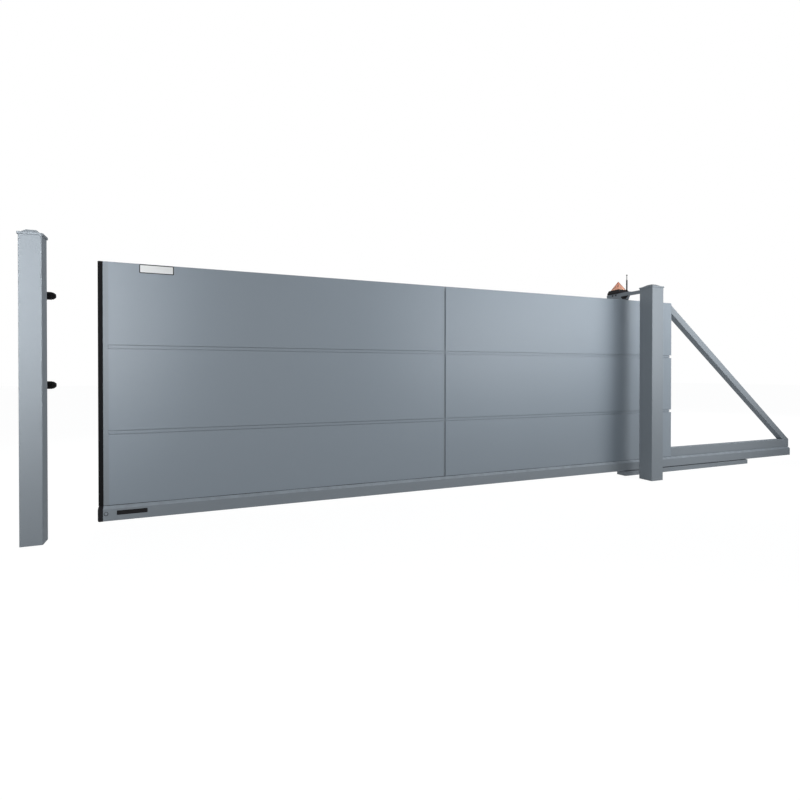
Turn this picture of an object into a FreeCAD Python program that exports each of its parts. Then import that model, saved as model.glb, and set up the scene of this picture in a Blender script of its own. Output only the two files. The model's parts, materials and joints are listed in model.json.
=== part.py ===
import FreeCAD, Part
import os
import re
import Sketcher

# Sliding driveway gate: a cantilevered leaf of stacked panels on a hollow rail, which runs over two
# roller carriages, between a guide post and a catch post.
# Millimetres. X runs along the gate towards its opened side, Y away from the street, Z up from the ground.
# The origin is the middle of the carriage base's underside, in the leaf's middle plane.

sizes = {
    # carriage base on the ground
    "base_length": 1632,
    "base_width": 100,
    "base_height": 40,
    "base_wall": 5,
    "base_corner": 12,
    "anchor_bore": 14,
    "anchor_margin": 31,
    "inner_anchor_gap": 110,
    # posts and their caps
    "post_rise": 80,
    "catch_gap": 222,
    "guide_post_reach": 783,
    "guide_post_side": 130,
    "guide_post_wall": 4,
    "guide_post_gap": 137,
    "catch_post_side": 104,
    "catch_post_wall": 3,
    "catch_post_gap": 92,
    "post_corner": 5,
    "cap_overhang": 6,
    "cap_skirt": 7,
    "cap_plate": 4,
    "cap_rise": 20,
    "cap_top": 46,
    # buffers behind the catch post
    "upper_buffer_height": 1338,
    "lower_buffer_height": 835,
    "buffer_diameter": 44,
    "buffer_head_diameter": 40,
    "buffer_tip_diameter": 22,
    "buffer_body": 38,
    "buffer_rim": 8,
    "buffer_nose": 12,
    "buffer_reach": 15,
    "catch_plate": 6,
    "catch_foot_width": 76,
    "catch_foot_height": 70,
    "catch_arm_height": 56,
    "catch_arm_past": 28,
    "catch_corner": 10,
    # leaf
    "leaf_clearance": 46,
    "leaf_reach": 4809,
    "leaf_thickness": 60,
    "leading_stile": 28,
    "leading_rubber": 28,
    "left_bay": 2186.5,
    "right_bay": 2345.5,
    "centre_gap": 15,
    "centre_recess": 8,
    "lower_panel": 436,
    "middle_panel": 500,
    "upper_panel": 482,
    "band_height": 23.5,
    "band_depth": 4,
    "line_width": 4,
    "line_depth": 5,
    "band_notch": 18,
    "key_width": 16,
    "key_height": 10,
    "key_clearance": 0.3,
    "panel_bevel": 1,
    # rail and its caps
    "rail_height": 86,
    "rail_width": 100,
    "rail_shoulder": 17,
    "rail_wall": 5,
    "rail_slot": 28,
    "rail_round": 4,
    "rail_cap": 26,
    "rail_cap_round": 10,
    # groove along the top of the leaf
    "channel_width": 52,
    "channel_depth": 34,
    "channel_wall": 3,
    # counterbalance tail
    "tail_length": 1723,
    "tail_beam_height": 80,
    "tail_wall": 3,
    "tail_corner": 4,
    "brace_width": 60,
    "brace_drop": 19,
    # roller carriages
    "carriage_margin": 226,
    "carriage_length": 320,
    "carriage_foot_width": 60,
    "carriage_foot": 8,
    "carriage_web": 10,
    "carriage_round": 24,
    "wheel_seat": 0.3,
    "wheel_play": 1.7,
    "wheel_width": 18,
    "wheel_side_gap": 3,
    "wheel_bevel": 3,
    "axle_spacing": 180,
    "axle_diameter": 16,
    "axle_clearance": 0.2,
    # top guide
    "guide_arm_height": 32,
    "guide_arm_drop": 12,
    "guide_rise": 6,
    "guide_width": 112,
    "guide_depth": 256,
    "guide_overlap": 14,
    "guide_clearance": 6,
    "guide_sheet": 3,
    "guide_lip": 6,
    "guide_fold": 5,
    "window_top": 68,
    "window_bottom": 14,
    "window_height": 27,
    "window_shoulder": 24,
    "window_sill": 6,
    "block_width": 76,
    "block_thickness": 16,
    "block_nose": 28,
    "block_bevel": 5,
    "block_play": 1,
    # warning lamp and aerial
    "lamp_setback": 130,
    "lamp_base_side": 134,
    "lamp_base_top": 115,
    "lamp_base_plinth": 10,
    "lamp_base_height": 35,
    "lamp_base_round": 4,
    "lamp_lens_side": 97,
    "lamp_lens_height": 81,
    "lamp_lens_tip": 7,
    "lamp_lens_wall": 4,
    "lamp_lens_roof": 10,
    "aerial_setback": 32,
    "aerial_height": 165,
    "aerial_foot_diameter": 22,
    "aerial_foot": 8,
    "aerial_sleeve_diameter": 12,
    "aerial_sleeve": 116,
    "aerial_whip_diameter": 6,
    "aerial_tip_diameter": 11,
    "aerial_tip": 10,
    "aerial_bevel": 2,
}

doc = FreeCAD.newDocument("sliding_gate")
sheet = doc.addObject("Spreadsheet::Sheet", "Sizes")
for row, (alias, value) in enumerate(sizes.items(), start=1):
    sheet.set(f"A{row}", alias)
    sheet.set(f"B{row}", str(value))
    sheet.setAlias(f"B{row}", alias)
doc.recompute()

# Places that several pieces share, as formulas over the sizes.
rail_top = "(leaf_clearance + rail_height)"
rail_floor = "(leaf_clearance + rail_wall)"
rail_ceiling = f"({rail_top} - rail_wall)"
lower_joint = f"({rail_top} + lower_panel)"
upper_joint = f"({lower_joint} + middle_panel)"
leaf_top = f"({upper_joint} + upper_panel)"
leaf_start = "(-leaf_reach)"
left_bay_start = f"({leaf_start} + leading_stile)"
left_bay_end = f"({left_bay_start} + left_bay)"
right_bay_start = f"({left_bay_end} + centre_gap)"
leaf_end = f"({right_bay_start} + right_bay)"
tail_end = f"({leaf_end} + tail_length)"
leaf_half = "(leaf_thickness / 2)"
post_height = f"({leaf_top} + post_rise)"
channel_floor = f"({leaf_top} - channel_depth)"
guide_post_left = "(-guide_post_reach)"
guide_post_x = f"({guide_post_left} + guide_post_side / 2)"
guide_post_back = f"(-{leaf_half} - guide_post_gap)"
guide_post_y = f"({guide_post_back} - guide_post_side / 2)"
catch_post_right = f"({leaf_start} - leading_rubber - catch_gap)"
catch_post_x = f"({catch_post_right} - catch_post_side / 2)"
catch_post_back = f"(-{leaf_half} - catch_post_gap)"
catch_post_y = f"({catch_post_back} - catch_post_side / 2)"
buffer_seat = "(catch_post_side / 2 + buffer_reach - buffer_nose - buffer_rim - buffer_body)"
carriage_place = "(base_length / 2 - carriage_margin)"
guide_arm_top = f"({post_height} - guide_arm_drop)"
guide_top = f"({guide_arm_top} + guide_rise)"
guide_ceiling = f"({guide_top} - guide_sheet)"
guide_bottom = f"({leaf_top} + guide_clearance)"
guide_front = f"(-{leaf_half} - guide_overlap)"
guide_back = f"({guide_front} + guide_depth)"
window_foot = f"({guide_bottom} + window_sill)"


def bound(formula):
    """Return the formula with every size's name pointing at its cell."""
    def pointed(word):
        return "Sizes." + word.group() if word.group() in sizes else word.group()

    return re.sub(r"[a-z][a-z_]*", pointed, str(formula))


def amount(formula):
    """Return the formula's present value."""
    found = sheet.evalExpression(bound(formula))
    return float(getattr(found, "Value", found))


def bind(thing, prop, formula):
    thing.setExpression(prop, bound(formula))


def new_body(label, x="0", y="0", z="0"):
    body = doc.addObject("PartDesign::Body", label)
    body.Label = label
    for axis, formula in zip("xyz", (x, y, z)):
        bind(body, f"Placement.Base.{axis}", formula)
    return body


def origin_plane(body, role):
    return next(item for item in body.Origin.OriginFeatures if item.Role == role)


def new_sketch(body, role, offset="0"):
    """Return a sketch on one of the body's own planes, moved along the plane's normal by the offset."""
    sketch = body.newObject("Sketcher::SketchObject", "sketch")
    sketch.AttachmentSupport = [(origin_plane(body, role), "")]
    sketch.MapMode = "FlatFace"
    bind(sketch, "AttachmentOffset.Base.z", offset)
    return sketch


def place_point(sketch, geometry, end, point):
    """Tie one point of a sketch to its two formulas."""
    for kind, formula, axis in (("DistanceX", point[0], -2), ("DistanceY", point[1], -1)):
        if str(formula) == "0":
            sketch.addConstraint(Sketcher.Constraint("PointOnObject", geometry, end, axis))
            continue
        index = sketch.addConstraint(Sketcher.Constraint(kind, geometry, end, amount(formula)))
        bind(sketch, f"Constraints[{index}]", formula)


def add_loop(sketch, points):
    """Add a closed run of straight lines through the points, each tied to its formulas."""
    corners = [FreeCAD.Vector(amount(x), amount(y), 0) for x, y in points]
    first = sketch.GeometryCount
    count = len(points)
    for step in range(count):
        sketch.addGeometry(Part.LineSegment(corners[step], corners[(step + 1) % count]), False)
    for step in range(count):
        follower = first + (step + 1) % count
        sketch.addConstraint(Sketcher.Constraint("Coincident", first + step, 2, follower, 1))
    for step, point in enumerate(points):
        place_point(sketch, first + step, 1, point)


def add_circle(sketch, point, diameter):
    centre = FreeCAD.Vector(amount(point[0]), amount(point[1]), 0)
    index = sketch.addGeometry(Part.Circle(centre, FreeCAD.Vector(0, 0, 1), amount(diameter) / 2), False)
    place_point(sketch, index, 3, point)
    tie = sketch.addConstraint(Sketcher.Constraint("Diameter", index, amount(diameter)))
    bind(sketch, f"Constraints[{tie}]", diameter)


def outline(body, role, *loops, offset="0"):
    sketch = new_sketch(body, role, offset)
    for points in loops:
        add_loop(sketch, points)
    return sketch


def rectangle(low_x, low_y, high_x, high_y):
    return [(low_x, low_y), (high_x, low_y), (high_x, high_y), (low_x, high_y)]


def square(side):
    return rectangle(f"-({side}) / 2", f"-({side}) / 2", f"({side}) / 2", f"({side}) / 2")


def mirrored(half):
    """Return a closed outline from its right half, which runs upwards."""
    return half + [(f"-({x})", y) for x, y in reversed(half)]


def pad(body, sketch, length):
    feature = body.newObject("PartDesign::Pad", "pad")
    feature.Profile = sketch
    bind(feature, "Length", length)
    doc.recompute()
    return feature


def cut(body, sketch, length, ahead=True):
    """Cut the sketch's outline out of the body, ahead along the sketch's normal or behind it."""
    before = body.Shape.Volume
    feature = body.newObject("PartDesign::Pocket", "pocket")
    feature.Profile = sketch
    feature.Reversed = ahead
    bind(feature, "Length", length)
    doc.recompute()
    if not feature.Shape.Volume < before:
        raise RuntimeError(f"{body.Label}: a cut misses the solid")
    return feature


def revolve(body, sketch, axis):
    feature = body.newObject("PartDesign::Revolution", "revolution")
    feature.Profile = sketch
    feature.ReferenceAxis = (sketch, [axis])
    feature.Angle = 360
    doc.recompute()
    return feature


def frustum(body, kind, lower, upper, bottom, top):
    """Add or cut a four-sided pyramid's stump about the body's upright axis, from one side to the other."""
    feature = body.newObject(f"PartDesign::{kind}Wedge", "frustum")
    feature.AttachmentSupport = [(origin_plane(body, "XZ_Plane"), "")]
    feature.MapMode = "FlatFace"
    for axis in "XZ":
        bind(feature, f"{axis}min", f"-({lower}) / 2")
        bind(feature, f"{axis}max", f"({lower}) / 2")
        bind(feature, f"{axis}2min", f"-({upper}) / 2")
        bind(feature, f"{axis}2max", f"({upper}) / 2")
    bind(feature, "Ymin", bottom)
    bind(feature, "Ymax", top)
    doc.recompute()
    return feature


def group(label, members):
    """Return one piece of several solids."""
    piece = doc.addObject("Part::Compound", label)
    piece.Label = label
    piece.Links = members
    doc.recompute()
    return piece


def edges_of(feature, wanted):
    return [f"Edge{number}" for number, edge in enumerate(feature.Shape.Edges, start=1) if wanted(edge)]


def runs_along(edge, axis):
    """Tell whether a straight edge is parallel to the X, Y or Z axis."""
    if len(edge.Vertexes) != 2 or edge.Curve.TypeId != "Part::GeomLine":
        return False
    return abs(abs(getattr(edge.Curve.Direction, axis)) - 1) < 1e-6


def on_box(edge, box, axis):
    """Tell whether an edge lies on one of the two box faces square to the axis."""
    sides = [getattr(box, axis.upper() + end) for end in ("Min", "Max")]
    places = [getattr(vertex.Point, axis) for vertex in edge.Vertexes]
    return any(all(abs(place - side) < 1e-4 for place in places) for side in sides)


def corner_edges(feature, axis, outer=True):
    """Return the edges parallel to the axis, at the section's outer corners or at its inner ones."""
    others = [name for name in "xyz" if name != axis]
    box = feature.Shape.optimalBoundingBox(False)

    def wanted(edge):
        return runs_along(edge, axis) and all(on_box(edge, box, name) for name in others) == outer

    return edges_of(feature, wanted)


def round_edges(body, feature, edges, radius):
    fillet = body.newObject("PartDesign::Fillet", "fillet")
    fillet.Base = (feature, edges)
    bind(fillet, "Radius", radius)
    doc.recompute()
    return fillet


def round_tube(body, feature, axis, corner, wall):
    """Round a square tube's corners outside and, less by the wall, inside."""
    outside = round_edges(body, feature, corner_edges(feature, axis), corner)
    return round_edges(body, outside, corner_edges(outside, axis, outer=False), f"{corner} - {wall}")


# Posts: square tubes set in the ground, each closed by a low pyramid cap with a skirt.
def make_post(label, side, wall, x, y):
    body = new_body(label, x, y)
    section = outline(body, "XY_Plane", square(side), square(f"{side} - 2 * {wall}"))
    tube = pad(body, section, post_height)
    round_tube(body, tube, "z", "post_corner", wall)
    return body


def make_cap(label, side, x, y):
    body = new_body(label, x, y, post_height)
    outer = f"{side} + 2 * cap_overhang"
    skirt = outline(body, "XY_Plane", square(outer), offset="-cap_skirt")
    block = pad(body, skirt, "cap_skirt + cap_plate")
    round_edges(body, block, corner_edges(block, "z"), "post_corner + cap_overhang")
    cut(body, outline(body, "XY_Plane", square(side), offset="-cap_skirt"), "cap_skirt")
    frustum(body, "Additive", f"{side} - 2 * cap_overhang", "cap_top", "cap_plate", "cap_plate + cap_rise")
    return body


# Catch brackets: a foot on the post's back with an arm that reaches behind the leaf's middle plane.
def make_catch_bracket(height):
    body = new_body("catch_bracket", catch_post_x, "0", height)
    foot = outline(body, "XY_Plane",
                   rectangle("-catch_foot_width / 2", catch_post_back,
                             "catch_foot_width / 2", f"{catch_post_back} + catch_plate"),
                   offset="-catch_foot_height / 2")
    pad(body, foot, "catch_foot_height")
    arm = outline(body, "XY_Plane",
                  rectangle(f"{buffer_seat} - catch_plate", f"{catch_post_back} + catch_plate",
                            buffer_seat, "catch_arm_past"),
                  offset="-catch_arm_height / 2")
    plates = pad(body, arm, "catch_arm_height")
    box = plates.Shape.BoundBox

    def plate_corner(edge):
        foot_corner = runs_along(edge, "y") and on_box(edge, box, "x") and on_box(edge, box, "z")
        arm_corner = runs_along(edge, "x") and abs(edge.Vertexes[0].Y - box.YMax) < 1e-4
        return foot_corner or arm_corner

    round_edges(body, plates, edges_of(plates, plate_corner), "catch_corner")
    return body


# Buffers: a turned sleeve with a tapered nose, pointing along the gate at the leaf's front end.
def make_buffer(height):
    body = new_body("catch_buffer", f"{catch_post_x} + {buffer_seat}", "0", height)
    sketch = new_sketch(body, "XZ_Plane")
    rim = "buffer_body + buffer_rim"
    tip = f"{rim} + buffer_nose"
    add_loop(sketch, [("0", "0"), (tip, "0"), (tip, "buffer_tip_diameter / 2"),
                      (rim, "buffer_head_diameter / 2"), ("buffer_body", "buffer_head_diameter / 2"),
                      ("buffer_body", "buffer_diameter / 2"), ("0", "buffer_diameter / 2")])
    revolve(body, sketch, "H_Axis")
    return body


make_post("catch_post", "catch_post_side", "catch_post_wall", catch_post_x, catch_post_y)
make_cap("catch_post_cap", "catch_post_side", catch_post_x, catch_post_y)
make_post("guide_post", "guide_post_side", "guide_post_wall", guide_post_x, guide_post_y)
make_cap("guide_post_cap", "guide_post_side", guide_post_x, guide_post_y)
levels = ("upper", "lower")
group("catch_brackets", [make_catch_bracket(f"{level}_buffer_height") for level in levels])
group("catch_buffers", [make_buffer(f"{level}_buffer_height") for level in levels])


# Carriage base: a long pan that lies on the ground with its rim up, anchored along its middle line.
def make_carriage_base():
    body = new_body("carriage_base", "-base_length / 2")
    half = "(base_width / 2)"
    whole = rectangle("0", f"-{half}", "base_length", half)
    block = pad(body, outline(body, "XY_Plane", whole), "base_height")
    round_edges(body, block, corner_edges(block, "z"), "base_corner")
    inside = rectangle("base_wall", f"-{half} + base_wall", "base_length - base_wall", f"{half} - base_wall")
    pan = cut(body, outline(body, "XY_Plane", inside, offset="base_height"), "base_height - base_wall",
              ahead=False)
    round_edges(body, pan, corner_edges(pan, "z", outer=False), "base_corner - base_wall")
    anchors = new_sketch(body, "XY_Plane")
    outer = "(base_length / 2 - anchor_margin)"
    inner = f"({carriage_place} - carriage_length / 2 - inner_anchor_gap)"
    for place in (outer, inner):
        for side in ("-", "+"):
            add_circle(anchors, (f"base_length / 2 {side} {place}", "0"), "anchor_bore")
    cut(body, anchors, "base_wall")
    return body


make_carriage_base()

# Roller carriages: a foot in the base channel and an upright web through the rail's slot, with two axles
# across it. The wheels carry the rail by its ceiling and hold it down by its floor lips.
wheel_diameter = f"({rail_ceiling} - {rail_floor} - wheel_seat - wheel_play)"
axle_height = f"({rail_ceiling} - wheel_seat - {wheel_diameter} / 2)"
wheel_inner = "(carriage_web / 2 + wheel_side_gap)"
wheel_outer = f"({wheel_inner} + wheel_width)"
axle_places = ("-axle_spacing / 2", "axle_spacing / 2")


def make_carriage(label, x):
    body = new_body(label, x)
    half = "carriage_length / 2"
    foot = outline(body, "XY_Plane", rectangle(f"-{half}", "-carriage_foot_width / 2", half,
                                               "carriage_foot_width / 2"), offset="base_wall")
    pad(body, foot, "carriage_foot")
    web = outline(body, "XZ_Plane", rectangle(f"-{half}", "base_wall + carriage_foot", half,
                                              f"{axle_height} + axle_diameter"), offset="-carriage_web / 2")
    upright = pad(body, web, "carriage_web")
    top = upright.Shape.BoundBox.ZMax

    def web_corner(edge):
        return runs_along(edge, "y") and abs(edge.Vertexes[0].Z - top) < 1e-4

    round_edges(body, upright, edges_of(upright, web_corner), "carriage_round")
    axles = new_sketch(body, "XZ_Plane", f"-{wheel_outer}")
    for place in axle_places:
        add_circle(axles, (place, axle_height), "axle_diameter")
    pad(body, axles, f"2 * {wheel_outer}")
    return body


def make_wheel(x, side):
    body = new_body("wheel", x, "0", axle_height)
    near, far = f"{side} * {wheel_inner}", f"{side} * {wheel_outer}"
    bore, tread = "axle_diameter / 2 + axle_clearance", f"{wheel_diameter} / 2"
    sketch = new_sketch(body, "YZ_Plane")
    add_loop(sketch, [(near, bore), (near, tread), (f"{far} - {side} * wheel_bevel", tread),
                      (far, f"{tread} - wheel_bevel"), (far, bore)])
    revolve(body, sketch, "H_Axis")
    return body


carriage_places = {"front": f"-{carriage_place}", "rear": carriage_place}
for end, place in carriage_places.items():
    make_carriage(f"{end}_carriage", place)
group("carriage_wheels", [make_wheel(f"{place} + {axle}", side) for place in carriage_places.values()
                          for axle in axle_places for side in (-1, 1)])


# Guide rail: a hollow profile with sloped shoulders, open below by a slot that the carriages reach through.
def make_rail():
    body = new_body("guide_rail", leaf_start)
    half, top_half, slot_half = "(rail_width / 2)", leaf_half, "(rail_slot / 2)"
    shoulder = f"({rail_top} - rail_shoulder)"
    slope = f"(rail_shoulder / (rail_width / 2 - {leaf_half}))"
    slant = f"(rail_wall * sqrt(1 + {slope} ^ 2))"
    inner_half = f"({half} - rail_wall)"
    inner_shoulder = f"({shoulder} + rail_wall * {slope} - {slant})"
    inner_top_half = f"({top_half} + (rail_wall - {slant}) / {slope})"
    right = [(slot_half, "leaf_clearance"), (half, "leaf_clearance"), (half, shoulder),
             (top_half, rail_top)]
    inside = [(slot_half, rail_floor), (inner_half, rail_floor), (inner_half, inner_shoulder),
              (inner_top_half, rail_ceiling)]
    points = right + [(f"-{x}", y) for x, y in reversed(right)]
    points += [(f"-{x}", y) for x, y in inside] + list(reversed(inside))
    profile = pad(body, outline(body, "YZ_Plane", points), f"{tail_end} - rail_cap - {leaf_start}")
    box = profile.Shape.BoundBox

    def lower_corner(edge):
        low = abs(edge.Vertexes[0].Z - box.ZMin) < 1e-4
        return low and runs_along(edge, "x") and on_box(edge, box, "y")

    round_edges(body, profile, edges_of(profile, lower_corner), "rail_round")
    return body


def make_rail_cap(label, x, length, front):
    """A plug of the rail's outer outline; the one at the tail has its outer edges rounded."""
    body = new_body(label, x)
    half = "(rail_width / 2)"
    right = [(half, "leaf_clearance"), (half, f"{rail_top} - rail_shoulder"), (leaf_half, rail_top)]
    block = pad(body, outline(body, "YZ_Plane", mirrored(right)), length)
    high = block.Shape.BoundBox.XMin if front else block.Shape.BoundBox.XMax

    def outer_rim(edge):
        return all(abs(vertex.X - high) < 1e-4 for vertex in edge.Vertexes)

    round_edges(body, block, edges_of(block, outer_rim), "rail_cap_round")
    return body


make_rail()
make_rail_cap("rail_front_cap", f"{leaf_start} - leading_rubber", "leading_rubber", True)
make_rail_cap("rail_tail_cap", f"{tail_end} - rail_cap", "rail_cap", False)


# Panels: a flat sandwich board with a recessed tongue along its top, keyed into the board above it. A fine
# line is sunk along each edge of the tongue's band. The upper boards have a slot for the top channel instead.
def panel_outline(row, height):
    half, neck, key = leaf_half, f"({leaf_half} - band_depth)", "(key_width / 2)"
    groove, groove_top = "(key_width / 2 + key_clearance)", "(key_height + key_clearance)"
    slot, sunk = "(channel_width / 2)", "(leaf_thickness / 2 - band_depth - line_depth)"
    band = f"({height} - band_height)"
    if row == "upper":
        over = [(half, height), (slot, height), (slot, f"{height} - channel_depth")]
    else:
        over = [(half, band), (sunk, band), (sunk, f"{band} + line_width"), (neck, f"{band} + line_width"),
                (neck, f"{height} - line_width"), (sunk, f"{height} - line_width"), (sunk, height),
                (key, height), (key, f"{height} + key_height")]
    if row == "lower":
        return mirrored([(half, "0")] + over)
    return mirrored([(groove, groove_top), (groove, "0"), (half, "0")] + over)


def make_panel(label, row, bay, start, length, bottom, height):
    body = new_body(label, start, "0", bottom)
    board = pad(body, outline(body, "YZ_Plane", panel_outline(row, height)), length)
    if row != "upper" and bay == "right":
        notch = rectangle(f"{length} - band_notch", f"{height} - band_height", length,
                          f"{height} + key_height")
        board = cut(body, outline(body, "XZ_Plane", notch, offset=f"-{leaf_half}"), "leaf_thickness")
    box = board.Shape.BoundBox

    def face_rim(edge):
        if not on_box(edge, box, "y"):
            return False
        low = edge.BoundBox
        on_rail = row == "lower" and low.ZMax < box.ZMin + 1
        at_stile = bay == "left" and low.XMax < box.XMin + 1
        return not on_rail and not at_stile

    bevel = body.newObject("PartDesign::Chamfer", "chamfer")
    bevel.Base = (board, edges_of(board, face_rim))
    bind(bevel, "Size", "panel_bevel")
    doc.recompute()
    return body


rows = {"lower": (rail_top, "lower_panel"), "middle": (lower_joint, "middle_panel"),
        "upper": (upper_joint, "upper_panel")}
bays = {"left": (left_bay_start, "left_bay"), "right": (right_bay_start, "right_bay")}
for row, (bottom, height) in rows.items():
    for bay, (start, length) in bays.items():
        make_panel(f"{row}_{bay}_panel", row, bay, start, length, bottom, height)


def make_upright(label, start, length, half, bottom, top):
    body = new_body(label, start)
    pad(body, outline(body, "YZ_Plane", rectangle(f"-{half}", bottom, half, top)), length)
    return body


make_upright("leading_stile", leaf_start, "leading_stile", leaf_half, rail_top, leaf_top)
make_upright("centre_stile", left_bay_end, "centre_gap", f"({leaf_half} - centre_recess)", rail_top,
             channel_floor)


# Leading edge: a soft strip with rounded front corners down the leaf's front end, above the rail.
def make_leading_rubber():
    body = new_body("leading_rubber", f"{leaf_start} - leading_rubber", "0", rail_top)
    section = rectangle("0", f"-{leaf_half}", "leading_rubber", leaf_half)
    strip = pad(body, outline(body, "XY_Plane", section), f"{leaf_top} - {rail_top}")
    front = strip.Shape.BoundBox.XMin

    def front_corner(edge):
        return runs_along(edge, "z") and abs(edge.Vertexes[0].X - front) < 1e-4

    round_edges(body, strip, edges_of(strip, front_corner), "rail_cap_round")
    return body


make_leading_rubber()


# Top channel: a groove sunk in the upper panels, in which the guide block runs.
def make_top_channel():
    body = new_body("top_channel", left_bay_start)
    half = "(channel_width / 2)"
    inner = f"({half} - channel_wall)"
    right = [(half, channel_floor), (half, leaf_top), (inner, leaf_top),
             (inner, f"{channel_floor} + channel_wall")]
    pad(body, outline(body, "YZ_Plane", mirrored(right)), f"{leaf_end} - {left_bay_start}")
    return body


make_top_channel()


# Tail: a hollow beam on the rail behind the leaf, and a hollow brace from the leaf's top to the beam's end.
def make_tail_beam():
    body = new_body("tail_beam", leaf_end)
    beam_top = f"({rail_top} + tail_beam_height)"
    outer = rectangle(f"-{leaf_half}", rail_top, leaf_half, beam_top)
    inner = rectangle(f"-{leaf_half} + tail_wall", f"{rail_top} + tail_wall", f"{leaf_half} - tail_wall",
                      f"{beam_top} - tail_wall")
    tube = pad(body, outline(body, "YZ_Plane", outer, inner), "tail_length")
    round_edges(body, tube, corner_edges(tube, "x"), "tail_corner")
    return body


def make_tail_brace():
    body = new_body("tail_brace", leaf_end, leaf_half)
    foot = f"({rail_top} + tail_beam_height)"
    head = f"({leaf_top} - brace_drop)"
    fall = f"(({head} - {foot}) / tail_length)"
    stretch = f"sqrt(1 + {fall} ^ 2)"

    def band(top_inset, bottom_inset):
        low_head = f"({head} - (brace_width - {bottom_inset}) * {stretch})"
        high_head = f"({head} - {top_inset} * {stretch})"
        return [("0", low_head), (f"({low_head} - {foot}) / {fall}", foot),
                (f"({high_head} - {foot}) / {fall}", foot), ("0", high_head)]

    tube = pad(body, outline(body, "XZ_Plane", band("0", "0")), "leaf_thickness")
    hollow = outline(body, "XZ_Plane", band("tail_wall", "tail_wall"), offset="tail_wall")
    bare = cut(body, hollow, "leaf_thickness - 2 * tail_wall")
    box = bare.Shape.BoundBox

    def long_corner(edge):
        return on_box(edge, box, "y") and not runs_along(edge, "x") and not runs_along(edge, "z")

    round_edges(body, bare, edges_of(bare, long_corner), "tail_corner")
    return body


make_tail_beam()
make_tail_brace()


# Top guide: a folded sheet arm from the guide post over the leaf, with a deep cheek on its outer side and a
# low lip on the other, open below. The cheek has a window in front of the guide block.
def make_guide_bracket():
    body = new_body("guide_bracket", f"{guide_post_x} - guide_width / 2")
    arm_bottom = f"({guide_arm_top} - guide_arm_height)"
    side = [(guide_post_back, arm_bottom), (guide_front, arm_bottom), (guide_front, guide_bottom),
            (guide_back, guide_bottom), (guide_back, guide_top), (guide_front, guide_top),
            (guide_front, guide_arm_top), (guide_post_back, guide_arm_top)]
    pad(body, outline(body, "YZ_Plane", side), "guide_width")
    across = ("guide_sheet", "guide_width - guide_sheet")
    arm_inside = rectangle(across[0], f"{guide_post_back} + guide_sheet", across[1], guide_front)
    cut(body, outline(body, "XY_Plane", arm_inside, offset=f"{guide_arm_top} - guide_sheet"),
        "guide_arm_height", ahead=False)
    deep_inside = rectangle(across[0], f"{guide_front} + guide_sheet", across[1],
                            f"{guide_back} - guide_sheet")
    cut(body, outline(body, "XY_Plane", deep_inside, offset=guide_ceiling),
        f"{guide_ceiling} - {guide_bottom}", ahead=False)
    lip_edge = f"({guide_arm_top} - guide_lip)"
    open_side = rectangle(f"{guide_post_back} + guide_sheet", guide_bottom, f"{guide_back} - guide_sheet",
                          lip_edge)
    cut(body, outline(body, "YZ_Plane", open_side, offset="guide_sheet"), "guide_width")
    window = outline(body, "YZ_Plane", mirrored([("window_bottom / 2", window_foot),
                                                 ("window_top / 2", f"{window_foot} + window_shoulder"),
                                                 ("window_top / 2", f"{window_foot} + window_height")]))
    folded = cut(body, window, "guide_width")
    box = folded.Shape.BoundBox
    roofs = (amount(guide_arm_top), amount(guide_top))

    def outer_fold(edge):
        on_roof = any(abs(edge.Vertexes[0].Z - roof) < 1e-4 for roof in roofs)
        return on_roof and runs_along(edge, "y") and on_box(edge, box, "x")

    round_edges(body, folded, edges_of(folded, outer_fold), "guide_fold")
    return body


def make_guide_block():
    """A block on the cheek's inner face, which narrows to a nose in the groove."""
    body = new_body("guide_block", f"{guide_post_x} - guide_width / 2 + guide_sheet")
    nose = "(channel_width / 2 - channel_wall - block_play)"
    end = f"({leaf_top} - block_nose)"
    right = [(f"{nose} - block_bevel", end), (nose, f"{end} + block_bevel"), (nose, guide_bottom),
             ("block_width / 2", f"{window_foot} + window_shoulder"), ("block_width / 2", guide_ceiling)]
    pad(body, outline(body, "YZ_Plane", mirrored(right)), "block_thickness")
    return body


make_guide_bracket()
make_guide_block()


# Warning lamp: a sloped base on the bracket with a hollow pyramid lens, and a rod aerial beside it.
def make_lamp_base():
    body = new_body("lamp_base", guide_post_x, "lamp_setback", guide_top)
    half = "lamp_base_side / 2"
    pad(body, outline(body, "XY_Plane", rectangle(f"-{half}", f"-{half}", half, half)), "lamp_base_plinth")
    stump = frustum(body, "Additive", "lamp_base_side", "lamp_base_top", "lamp_base_plinth",
                    "lamp_base_height")

    def sloped(edge):
        return not any(runs_along(edge, axis) for axis in "xy")

    round_edges(body, stump, edges_of(stump, sloped), "lamp_base_round")
    return body


def make_lamp_lens():
    body = new_body("lamp_lens", guide_post_x, "lamp_setback", f"{guide_top} + lamp_base_height")
    frustum(body, "Additive", "lamp_lens_side", "lamp_lens_tip", "0", "lamp_lens_height")
    hollow = "(lamp_lens_side - 2 * lamp_lens_wall)"
    slope = "((lamp_lens_side - lamp_lens_tip) / lamp_lens_height)"
    roof = "(lamp_lens_height - lamp_lens_roof)"
    frustum(body, "Subtractive", hollow, f"{hollow} - {slope} * {roof}", "0", roof)
    return body


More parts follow.
